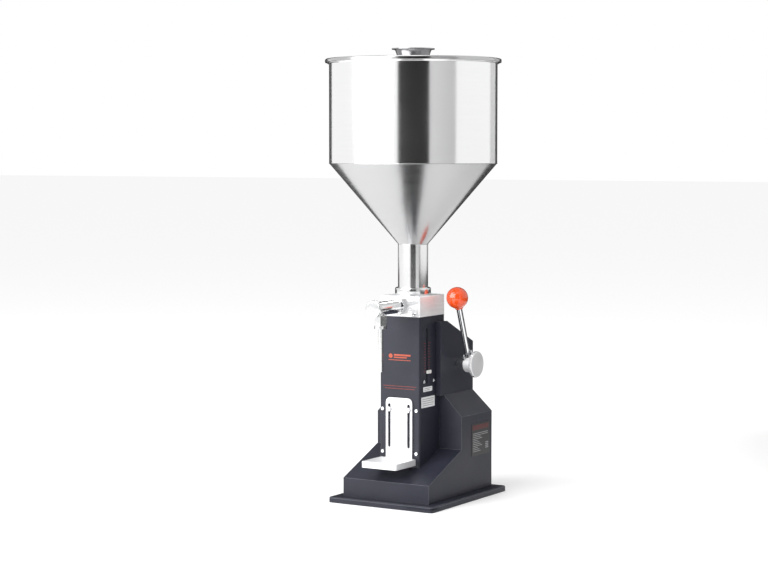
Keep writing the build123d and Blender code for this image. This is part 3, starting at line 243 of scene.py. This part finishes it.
def make_materials():
    around = (1, 1, 40)
    return {
        "painted_body": powder_paint("satin body paint", (0.015, 0.016, 0.025), (0.020, 0.0215, 0.034)),
        # Much lighter paint for the rounded edges: a painted highlight standing in for light catching the
        # edges, not wear.
        "edge_highlight_paint": powder_paint("painted edge highlight paint", (0.085, 0.088, 0.105), (0.120, 0.124, 0.145), 0.34),
        "bright_steel": polished_metal("polished stainless", (0.80, 0.805, 0.81), 0.13),
        "hopper_steel": brushed_steel(
            "brushed hopper steel", (0.92, 0.92, 0.925), 0.13, 34.0, around, 0.02, 0.03, 0.10
        ),
        # The cone is the same sheet steel as the wall but given a much darker tone: painted shade for the
        # downward-facing cone, besides its rougher satin finish.
        "cone_steel": brushed_steel(
            "satin cone steel darkened as painted shade", (0.51, 0.51, 0.515), 0.22, 26.0, around, 0.03, 0.05, 0.12
        ),
        "block_steel": faced_block(
            "satin valve block steel", (0.93, 0.93, 0.94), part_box("valve_block")[0][1], 0.46, 0.13
        ),
        "tray_finish": bead_blasted("bead blasted tray aluminium", (0.90, 0.90, 0.91)),
        "hub_finish": bead_blasted("satin nickel hub", (0.92, 0.92, 0.93)),
        # The lid is pressed from the same steel as the hopper but given a darker tone: painted shade meant
        # to darken its rim edges.
        "lid_steel": brushed_steel("pressed lid steel darkened as painted shade", (0.56, 0.56, 0.565), 0.16, 34.0, around, 0.03),
        "disc_finish": bead_blasted("satin disc face", (0.80, 0.80, 0.81)),
        "knob_steel": polished_metal("dark polished knob steel", (0.42, 0.42, 0.43), 0.16),
        "screw_steel": polished_metal("bright zinc plate", (0.80, 0.81, 0.83), 0.18),
        "dark_screw_steel": powder_paint("light nickel screw", (0.55, 0.55, 0.54), (0.70, 0.70, 0.69), 0.3),
        "machined_steel": brushed_steel("machined steel", (0.50, 0.51, 0.53), 0.30, 60.0, (1, 1, 12)),
        "aluminium_part": brushed_steel("milled aluminium", (0.74, 0.75, 0.76), 0.36, 50.0, (1, 12, 1)),
        "bronze": brushed_steel("turned bronze", (0.62, 0.40, 0.18), 0.30, 60.0, (12, 1, 1)),
        "bearing_steel": polished_metal("turned bearing steel", (0.72, 0.73, 0.74), 0.16),
        "seal_rubber": matt_stock("seal rubber", (0.02, 0.02, 0.02), 0.62, 1400.0),
        "piston_plastic": moulded_plastic(
            "white piston plastic", (0.82, 0.81, 0.78), (0.74, 0.73, 0.70), 0.4, 0.0
        ),
        "ball_plastic": moulded_plastic(
            "orange red ball plastic", (0.74, 0.078, 0.008), (0.64, 0.056, 0.006)
        ),
        "lever_chrome": polished_metal("lever chrome", (0.84, 0.85, 0.87), 0.07),
        "pointer_plastic": moulded_plastic(
            "pale pointer plastic", (0.80, 0.79, 0.75), (0.70, 0.69, 0.66), 0.3, 0.2
        ),
        "label_dark": matt_stock("black label film", (0.012, 0.012, 0.014), 0.34, 2200.0, 0.00001),
        "label_white": matt_stock("white label film", (0.78, 0.78, 0.79), 0.38, 2200.0, 0.00001),
        "print_orange": matt_stock("orange printing ink", (0.46, 0.075, 0.034), 0.42, 2600.0, 0.00001),
        "print_red": matt_stock("red printing ink", (0.17, 0.026, 0.024), 0.44, 2600.0, 0.00001),
        "print_grey": matt_stock("grey printing ink", (0.30, 0.30, 0.31), 0.44, 2600.0, 0.00001),
        "print_wine": matt_stock("dark red printing ink", (0.085, 0.012, 0.014), 0.40, 2600.0, 0.00001),
    }


materials = make_materials()


# ------------------------------------------------------------------ geometry
def to_object(name, mesh_data, body, material, stands_for=()):
    """Turns a bmesh into a finished piece that rides on a body."""
    mesh = bpy.data.meshes.new(name)
    mesh_data.to_mesh(mesh)
    mesh_data.free()
    mesh.materials.append(materials[material])
    piece = bpy.data.objects.new(name, mesh)
    bpy.context.scene.collection.objects.link(piece)
    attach(piece, body)
    if stands_for:
        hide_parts(*stands_for)
    return piece


def smooth_by_angle(mesh_data, degrees=32):
    """Smooth faces with creases kept where the surface turns sharply."""
    limit = math.radians(degrees)
    for face in mesh_data.faces:
        face.smooth = True
    for edge in mesh_data.edges:
        edge.smooth = len(edge.link_faces) == 2 and edge.calc_face_angle(math.pi) < limit


def add_bevel(piece, width, segments=2, angle=40, edge_material=None):
    bevel = piece.modifiers.new("edge_rounding", "BEVEL")
    bevel.width = width
    bevel.segments = segments
    bevel.limit_method = "ANGLE"
    bevel.angle_limit = math.radians(angle)
    bevel.harden_normals = True
    if edge_material:
        piece.data.materials.append(materials[edge_material])
        bevel.material = 1
    return piece


def refined(node, material, body, bevel=0.0, segments=2, angle=40):
    """A joined-up copy of a frame node, with its flats merged, smooth rounds and rounded edges."""
    copy = bmesh.new()
    copy.from_mesh(frame["nodes"][node].data)
    bmesh.ops.remove_doubles(copy, verts=copy.verts, dist=0.000002)
    bmesh.ops.dissolve_limit(
        copy, angle_limit=math.radians(0.6), verts=copy.verts, edges=copy.edges, delimit={"NORMAL"}
    )
    smooth_by_angle(copy)
    piece = to_object(node + "_finished", copy, body, material, (node,))
    if bevel:
        # Painted body pieces get the lighter edge paint on their bevels, a painted highlight along every
        # rounded edge.
        add_bevel(piece, bevel, segments, angle, "edge_highlight_paint" if material == "painted_body" else None)
    return piece


def turned(profile, segments=160):
    """A closed ring of metal turned about the hopper's axis from a radius and height outline."""
    ring = bmesh.new()
    verts = [ring.verts.new((radius, 0, height)) for radius, height in profile]
    edges = [ring.edges.new((verts[i], verts[(i + 1) % len(verts)])) for i in range(len(verts))]
    bmesh.ops.spin(
        ring, geom=verts + edges, cent=(0, 0, 0), axis=(0, 0, 1), angle=2 * math.pi,
        steps=segments, use_merge=True
    )
    bmesh.ops.remove_doubles(ring, verts=ring.verts, dist=0.000001)
    bmesh.ops.recalc_face_normals(ring, faces=ring.faces)
    smooth_by_angle(ring)
    return ring


def arc(centre, radius, start, end, steps=6):
    """Points on an arc in a radius and height outline, angles in degrees."""
    turns = [math.radians(start + (end - start) * k / steps) for k in range(steps + 1)]
    return [(centre[0] + radius * math.cos(t), centre[1] + radius * math.sin(t)) for t in turns]


def slab(mesh_data, low, high):
    """Adds a box between two corners to a bmesh."""
    size = [high[i] - low[i] for i in range(3)]
    middle = [(high[i] + low[i]) / 2 for i in range(3)]
    place = Matrix.Translation(middle) @ Matrix.Diagonal((*size, 1))
    return bmesh.ops.create_cube(mesh_data, size=1, matrix=place)["verts"]


def body_of(node):
    bodies = frame["record"]["behaviour"]["bodies"]
    return next(body for body, nodes in bodies.items() if node in nodes)


slot_of = {s["node"]: s["material_slot"] for s in frame["record"]["subparts"]}


# ------------------------------------------------------- finish of each node
ROUNDED = {
    "base_plate": (0.0010, 3), "lower_body": (0.0018, 3), "upper_housing": (0.0014, 3),
    "column": (0.0006, 2), "rear_cover": (0.0005, 2), "valve_block": (0.0008, 3),
    "tray": (0.0006, 2), "outlet_union_nut": (0.0006, 2), "nozzle_nut": (0.0005, 2),
    "rack": (0.0002, 1), "pinion": (0.0002, 1), "crosshead": (0.0008, 2), "guide_plate": (0.0006, 2),
    "stop_block": (0.0004, 2), "stop_pointer": (0.0004, 2),
}
SPUN = ("hopper_wall", "hopper_cone", "lid", "lid_knob", "hopper_union_ring")
MATERIAL_OF = {"valve_block": "block_steel", "tray": "tray_finish", "lever_end_disc": "disc_finish",
               "lever_hub": "hub_finish"}


def finish_nodes():
    """Every node that isn't turned anew gets a joined-up copy with its own finish."""
    for node in frame["nodes"]:
        if node in SPUN:
            continue
        slot = slot_of[node]
        width, segments = ROUNDED.get(node, (0.0, 2))
        refined(node, MATERIAL_OF.get(node, slot), body_of(node), width, segments)


# -------------------------------------------------------------------- hopper
def ring_sizes(node):
    low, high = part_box(node)
    return high[0], low[2], high[2]


def make_hopper():
    """Rolled wall with a bead and weld lines, and the spun cone below it."""
    bead_radius, wall_low, wall_high = ring_sizes("hopper_wall")
    wall_radius, cone_low, cone_high = ring_sizes("hopper_cone")
    sheet = 1.5 * MM
    bead = 2.0 * MM
    bead_centre = (bead_radius - bead, wall_high - bead)
    profile = [(wall_radius - sheet, wall_low), (wall_radius, wall_low)]
    profile += [(wall_radius, wall_high - 2 * bead - 0.3 * MM)]
    profile += arc(bead_centre, bead, -80, 90, 10)
    profile += [(wall_radius - sheet, wall_high)]
    wall = to_object("hopper_wall_rolled", turned(profile, 192), "frame", "hopper_steel", ("hopper_wall",))
    neck_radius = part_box("hopper_neck")[1][0] - 1.6 * MM
    run = wall_radius - neck_radius
    across = sheet * math.hypot(run, cone_high - cone_low) / (cone_high - cone_low)
    shoulder = 1.6 * MM
    profile = [(neck_radius - across, cone_low), (neck_radius, cone_low)]
    steps = 10
    for k in range(1, steps):
        share = k / steps
        profile.append((neck_radius + run * share, cone_low + (cone_high - cone_low) * share))
    profile += [(wall_radius - shoulder, cone_high - shoulder * 1.17), (wall_radius, cone_high)]
    profile += [(wall_radius - across, cone_high)]
    # The cone and its weld lines take the darker steel, whose low tone is painted shade.
    cone = to_object("hopper_cone_spun", turned(profile, 192), "frame", "cone_steel", ("hopper_cone",))
    seams = bmesh.new()
    for radius, height in ((wall_radius, cone_high), (neck_radius, cone_low)):
        weld = turned(arc((radius - 0.25 * MM, height), 0.7 * MM, 0, 360, 10)[:-1], 160)
        mesh = bpy.data.meshes.new("weld_ring")
        weld.to_mesh(mesh)
        weld.free()
        seams.from_mesh(mesh)
        bpy.data.meshes.remove(mesh)
    to_object("hopper_weld_lines", seams, "frame", "cone_steel", ())


def make_lid():
    outer, low, high = ring_sizes("lid")
    sheet = 1.5 * MM
    edge = 2.4 * MM
    shallow = 0.4 * MM
    profile = [(0.0026, high - sheet), (outer - 20 * MM, high - sheet), (outer - sheet, high - sheet)]
    profile += [(outer - sheet, low + 1.5 * MM), (outer - sheet, low), (outer - 1.1 * MM, low)]
    profile += arc((outer - 0.8 * MM, low + 0.8 * MM), 0.8 * MM, -90, 0, 5)
    profile += arc((outer - edge, high - edge), edge, 0, 90, 10)
    profile += [(outer - 8 * MM, high), (outer - 9 * MM, high - shallow), (outer - 20 * MM, high - shallow)]
    profile += [(0.0026, high - shallow)]
    # The lid takes the darker steel, whose low tone is painted shade along its rim.
    lid = to_object("lid_pressed", turned(profile, 192), "hopper_lid", "lid_steel", ("lid",))
    rim_radius, knob_low, knob_high = ring_sizes("lid_knob")
    stem = 24.5 * MM
    flare = 28.5 * MM
    rim = 1.0 * MM
    profile = [(0.0026, knob_low), (stem, knob_low), (stem + 0.6 * MM, knob_low + 0.8 * MM)]
    profile += [(stem + (flare - stem) * k / 5, knob_low + 1.5 * MM + 11 * MM * k / 5) for k in range(1, 6)]
    profile += [(flare + 1.2 * MM, knob_high - 2.4 * MM)]
    profile += arc((rim_radius - rim, knob_high - rim), rim, -90, 90, 8)
    profile += [(rim_radius - 3 * MM, knob_high - 0.5 * MM), (stem, knob_high - 1.2 * MM)]
    profile += [(0.0026, knob_high - 1.4 * MM)]
    knob = to_object("lid_knob_turned", turned(profile, 128), "hopper_lid", "knob_steel", ("lid_knob",))
    button = bmesh.new()
    bmesh.ops.create_uvsphere(button, u_segments=40, v_segments=16, radius=5 * MM)
    bmesh.ops.scale(button, vec=(1, 1, 0.26), verts=button.verts)
    bmesh.ops.translate(button, vec=(0, 0, knob_high - 1.2 * MM), verts=button.verts)
    smooth_by_angle(button, 60)
    to_object("lid_knob_centre_plug", button, "hopper_lid", "knob_steel", ())


def make_union_ring():
    """The ring nut under the hopper: a rounded band with a relief groove at its foot."""
    radius, low, high = ring_sizes("hopper_union_ring")
    seat = 26.5 * MM
    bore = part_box("hopper_neck")[1][0] - 1.5 * MM
    shelf = low + 9.3 * MM
    groove = 1.5 * MM
    crown = 2.6 * MM
    profile = [(seat, low), (radius - 2.2 * MM, low), (radius - 2.2 * MM, low + groove)]
    profile += arc((radius - 0.9 * MM, low + groove + 0.9 * MM), 0.9 * MM, -90, 0, 4)
    profile += arc((radius - crown, high - crown), crown, 0, 90, 8)
    profile += [(bore, high), (bore, shelf), (seat, shelf)]
    ring = to_object(
        "hopper_union_ring_turned", turned(profile, 144), "frame", "bright_steel", ("hopper_union_ring",)
    )


# ------------------------------------------------------------ printed details
def printed(name, bars, body, material):
    """Thin flat bars of ink or film, each given by its low and high corner."""
    ink = bmesh.new()
    for low, high in bars:
        slab(ink, low, high)
    return to_object(name, ink, body, material, ())


def make_front_marks():
    """A plain drop, bar and rule in place of any name, and two rules lower down."""
    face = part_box("column")[0][1]
    depth = 0.12 * MM
    mark = bmesh.new()
    lying = Matrix.Rotation(math.pi / 2, 4, "X")
    drop_place = Matrix.Translation((-17 * MM, face - depth / 2, 235.5 * MM)) @ lying
    bmesh.ops.create_cone(
        mark, cap_ends=True, segments=40, radius1=3.6 * MM, radius2=3.6 * MM, depth=depth, matrix=drop_place
    )
    for x0, x1, z0, z1 in ((-11, 20, 235.8, 238.6), (-11, 13, 232.4, 234.4), (-21, 20, 228.6, 229.6)):
        slab(mark, (x0 * MM, face - depth, z0 * MM), (x1 * MM, face, z1 * MM))
    to_object("front_mark", mark, "frame", "print_orange", ())
    bars = [
        ((-reach * MM, face - depth, z * MM), (reach * MM, face, (z + 1.1) * MM))
        for reach, z in ((31, 186.6), (28, 182.6))
    ]
    printed("front_rules", bars, "frame", "print_red")


def make_scale_marks():
    """Stroke scale beside the slot in the column's side."""
    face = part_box("column")[1][0]
    depth = 0.12 * MM
    bars = []
    for step in range(11):
        z = (211 + 4.5 * step) * MM
        length = (7 if step % 5 == 0 else 4.5) * MM
        for side in (-1, 1):
            near = (-18 + side * 4.2) * MM
            ys = sorted((near, near + side * length))
            bars.append(((face, ys[0], z), (face + depth, ys[1], z + 0.9 * MM)))
    printed("volume_scale_marks", bars, "frame", "print_red")


def make_label_print():
    """Generic rules and panels on the three labels, with no lettering."""
    rating_low, rating_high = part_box("rating_label")
    face = rating_high[0]
    ink = 0.06 * MM
    wide = rating_high[1] - rating_low[1]
    tall = rating_high[2] - rating_low[2]

    def bar(y0, y1, z0, z1):
        return (
            (face, rating_low[1] + wide * y0, rating_low[2] + tall * z0),
            (face + ink, rating_low[1] + wide * y1, rating_low[2] + tall * z1),
        )

    printed("rating_label_header", [bar(0.05, 0.95, 0.80, 0.95)], "frame", "print_wine")
    rows = []
    for row in range(11):
        z = 0.68 - row * 0.055
        reach = 0.90 if row < 2 else 0.34 + 0.08 * ((row * 5) % 4)
        rows.append(bar(0.07, reach, z, z + 0.018))
    for row in range(4):
        z = 0.34 - row * 0.055
        rows.append(bar(0.76, 0.93, z, z + 0.028))
    printed("rating_label_rules", rows, "frame", "print_grey")
    rules = []
    for node, count in (("volume_label", 2), ("notice_label", 4)):
        low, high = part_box(node)
        step = (high[2] - low[2]) / (count + 1)
        for row in range(count):
            z = high[2] - step * (row + 1)
            trim = (4 + 3 * (row % 2)) * MM
            near = (high[0], low[1] + 2.5 * MM, z - 0.5 * MM)
            far = (high[0] + ink, high[1] - trim, z + 0.5 * MM)
            rules.append((near, far))
    printed("side_label_rules", rules, "frame", "print_grey")


def make_cap_knurl():
    """Straight knurling round the outlet cap and the lever's end disc."""
    for node, body, axis, count, ridge in (
        ("outlet_cap", "frame", "Y", 60, 0.35), ("lever_end_disc", "lever", "X", 80, 0.3)
    ):
        low, high = (Vector(corner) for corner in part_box(node))
        centre = (low + high) / 2
        radius = (high.z - low.z) / 2
        if axis == "Y":
            start, end = low.y + 2.6 * MM, low.y + 6.2 * MM
        else:
            start, end = low.x + 1.2 * MM, high.x - 1.2 * MM
        ridges = bmesh.new()
        for k in range(count):
            angle = 2 * math.pi * k / count
            verts = slab(ridges, (-ridge * MM, -ridge * MM, start), (ridge * MM, ridge * MM, end))
            turn = Matrix.Rotation(math.pi / 4, 4, "Z")
            bmesh.ops.transform(ridges, matrix=turn, verts=verts)
            out = Vector((math.cos(angle), math.sin(angle), 0)) * (radius - 0.1 * MM)
            bmesh.ops.translate(ridges, vec=out, verts=verts)
        if axis == "Y":
            place = Matrix.Translation((centre.x, 0, centre.z)) @ Matrix.Rotation(-math.pi / 2, 4, "X")
        else:
            place = Matrix.Translation((0, centre.y, centre.z)) @ Matrix.Rotation(math.pi / 2, 4, "Y")
        bmesh.ops.transform(ridges, matrix=place, verts=ridges.verts)
        to_object(node + "_knurl", ridges, body, "bright_steel", ())


# --------------------------------------------------------------------- stage
def stage_sheet(name, outline, tone, glossy_only=True):
    """A four-cornered studio card that the camera doesn't see."""
    card = bmesh.new()
    card.faces.new([card.verts.new(corner) for corner in outline])
    mesh = bpy.data.meshes.new(name)
    card.to_mesh(mesh)
    card.free()
    mesh.materials.append(stage_paper(name + " paper", tone))
    sheet = bpy.data.objects.new(name, mesh)
    bpy.context.scene.collection.objects.link(sheet)
    sheet.visible_camera = False
    sheet.visible_shadow = False
    sheet.visible_diffuse = not glossy_only


def stage_paper(name, tone):
    """Matt grey paper with no sheen."""
    paper = bpy.data.materials.new(name)
    paper.use_nodes = True
    surface = next(n for n in paper.node_tree.nodes if n.type == "BSDF_PRINCIPLED")
    surface.inputs["Base Color"].default_value = (tone, tone, tone, 1)
    surface.inputs["Roughness"].default_value = 1.0
    surface.inputs["Specular IOR Level"].default_value = 0.0
    return paper


def around_object(azimuth, distance, height):
    """A point round the object; azimuth 0 is towards the camera, positive to its right."""
    turn = math.radians(CAMERA_AZIMUTH + azimuth)
    return (math.sin(turn) * distance, -math.cos(turn) * distance, height)


def standing_card(name, azimuths, distance, heights, tone, glossy_only=True):
    (start, end), (low, high) = azimuths, heights
    outline = [
        around_object(start, distance, low), around_object(end, distance, low),
        around_object(end, distance, high), around_object(start, distance, high),
    ]
    stage_sheet(name, outline, tone, glossy_only)


def soft_box(name, azimuth, elevation, distance, size, power, aim=(0, 0, 0.4)):
    """An area light aimed at the object; azimuth 0 is the front, positive towards the lever."""
    data = bpy.data.lights.new(name, "AREA")
    data.shape = "RECTANGLE"
    data.size, data.size_y = size
    data.energy = power
    light = bpy.data.objects.new(name, data)
    turn, rise = math.radians(azimuth), math.radians(elevation)
    offset = Vector((math.sin(turn) * math.cos(rise), -math.cos(turn) * math.cos(rise), math.sin(rise)))
    light.location = Vector(aim) + offset * distance
    light.rotation_euler = (Vector(aim) - light.location).to_track_quat("-Z", "Y").to_euler()
    bpy.context.scene.collection.objects.link(light)
    return light


CAMERA_AZIMUTH = 30.7
CAMERA_PLACE = (1.6358, -2.7531, 0.5660)
CAMERA_AIM = (-0.52205, 0.85007, -0.06964)
CAMERA_LENS = 93.2
CAMERA_SENSOR = 36.0
FLOOR_HALF_SIZE = 30
FLAG_LIFT = 0.004


def make_stage():
    floor = bmesh.new()
    bmesh.ops.create_grid(floor, x_segments=1, y_segments=1, size=FLOOR_HALF_SIZE)
    mesh = bpy.data.meshes.new("studio_floor")
    floor.to_mesh(mesh)
    floor.free()
    mesh.materials.append(stage_paper("pale floor", 0.93))
    floor_object = bpy.data.objects.new("studio_floor", mesh)
    bpy.context.scene.collection.objects.link(floor_object)

    standing_card("dark_card_front", (-20, 21), 2.3, (0.12, 2.4), 0.02)
    standing_card("grey_card_right", (21, 58), 2.3, (0.12, 2.4), 0.42)
    standing_card("grey_card_far_right", (126, 146), 1.8, (0.26, 1.8), 0.45)
    standing_card("dark_card_rear", (146, 217), 1.5, (0.10, 1.6), 0.05)
    standing_card("side_flag", (46, 134), 1.15, (0.0, 0.31), 0.08, glossy_only=False)
    standing_card("dark_card_rear_low", (128, 234), 1.5, (0.0, 0.30), 0.05)
    near = [around_object(side, 0.15, FLAG_LIFT) for side in (-42, 36)]
    far = [around_object(side, 1.0, FLAG_LIFT) for side in (15, -17)]
    stage_sheet("floor_flag", near + far, 0.03)

    world = bpy.data.worlds.new("studio")
    world.use_nodes = True
    background = next(n for n in world.node_tree.nodes if n.type == "BACKGROUND")
    background.inputs["Color"].default_value = (1, 1, 1, 1)
    background.inputs["Strength"].default_value = 1.0
    bpy.context.scene.world = world
    soft_box("key_box", CAMERA_AZIMUTH - 56, 24, 2.4, (2.5, 1.9), 76)
    soft_box("top_box", CAMERA_AZIMUTH - 20, 72, 2.3, (1.2, 1.2), 8)


def make_camera():
    """Long lens from the front right, level with the outlet arm and tilted a little down."""
    data = bpy.data.cameras.new("studio_camera")
    data.sensor_width = CAMERA_SENSOR
    data.lens = CAMERA_LENS
    camera = bpy.data.objects.new("studio_camera", data)
    camera.location = CAMERA_PLACE
    forward = Vector(CAMERA_AIM).normalized()
    camera.rotation_euler = forward.to_track_quat("-Z", "Y").to_euler()
    bpy.context.scene.collection.objects.link(camera)
    bpy.context.scene.camera = camera


finish_nodes()
make_hopper()
make_lid()
make_union_ring()
make_front_marks()
make_scale_marks()
make_label_print()
make_cap_knurl()
make_stage()
make_camera()
bpy.context.scene.view_settings.view_transform = "Standard"
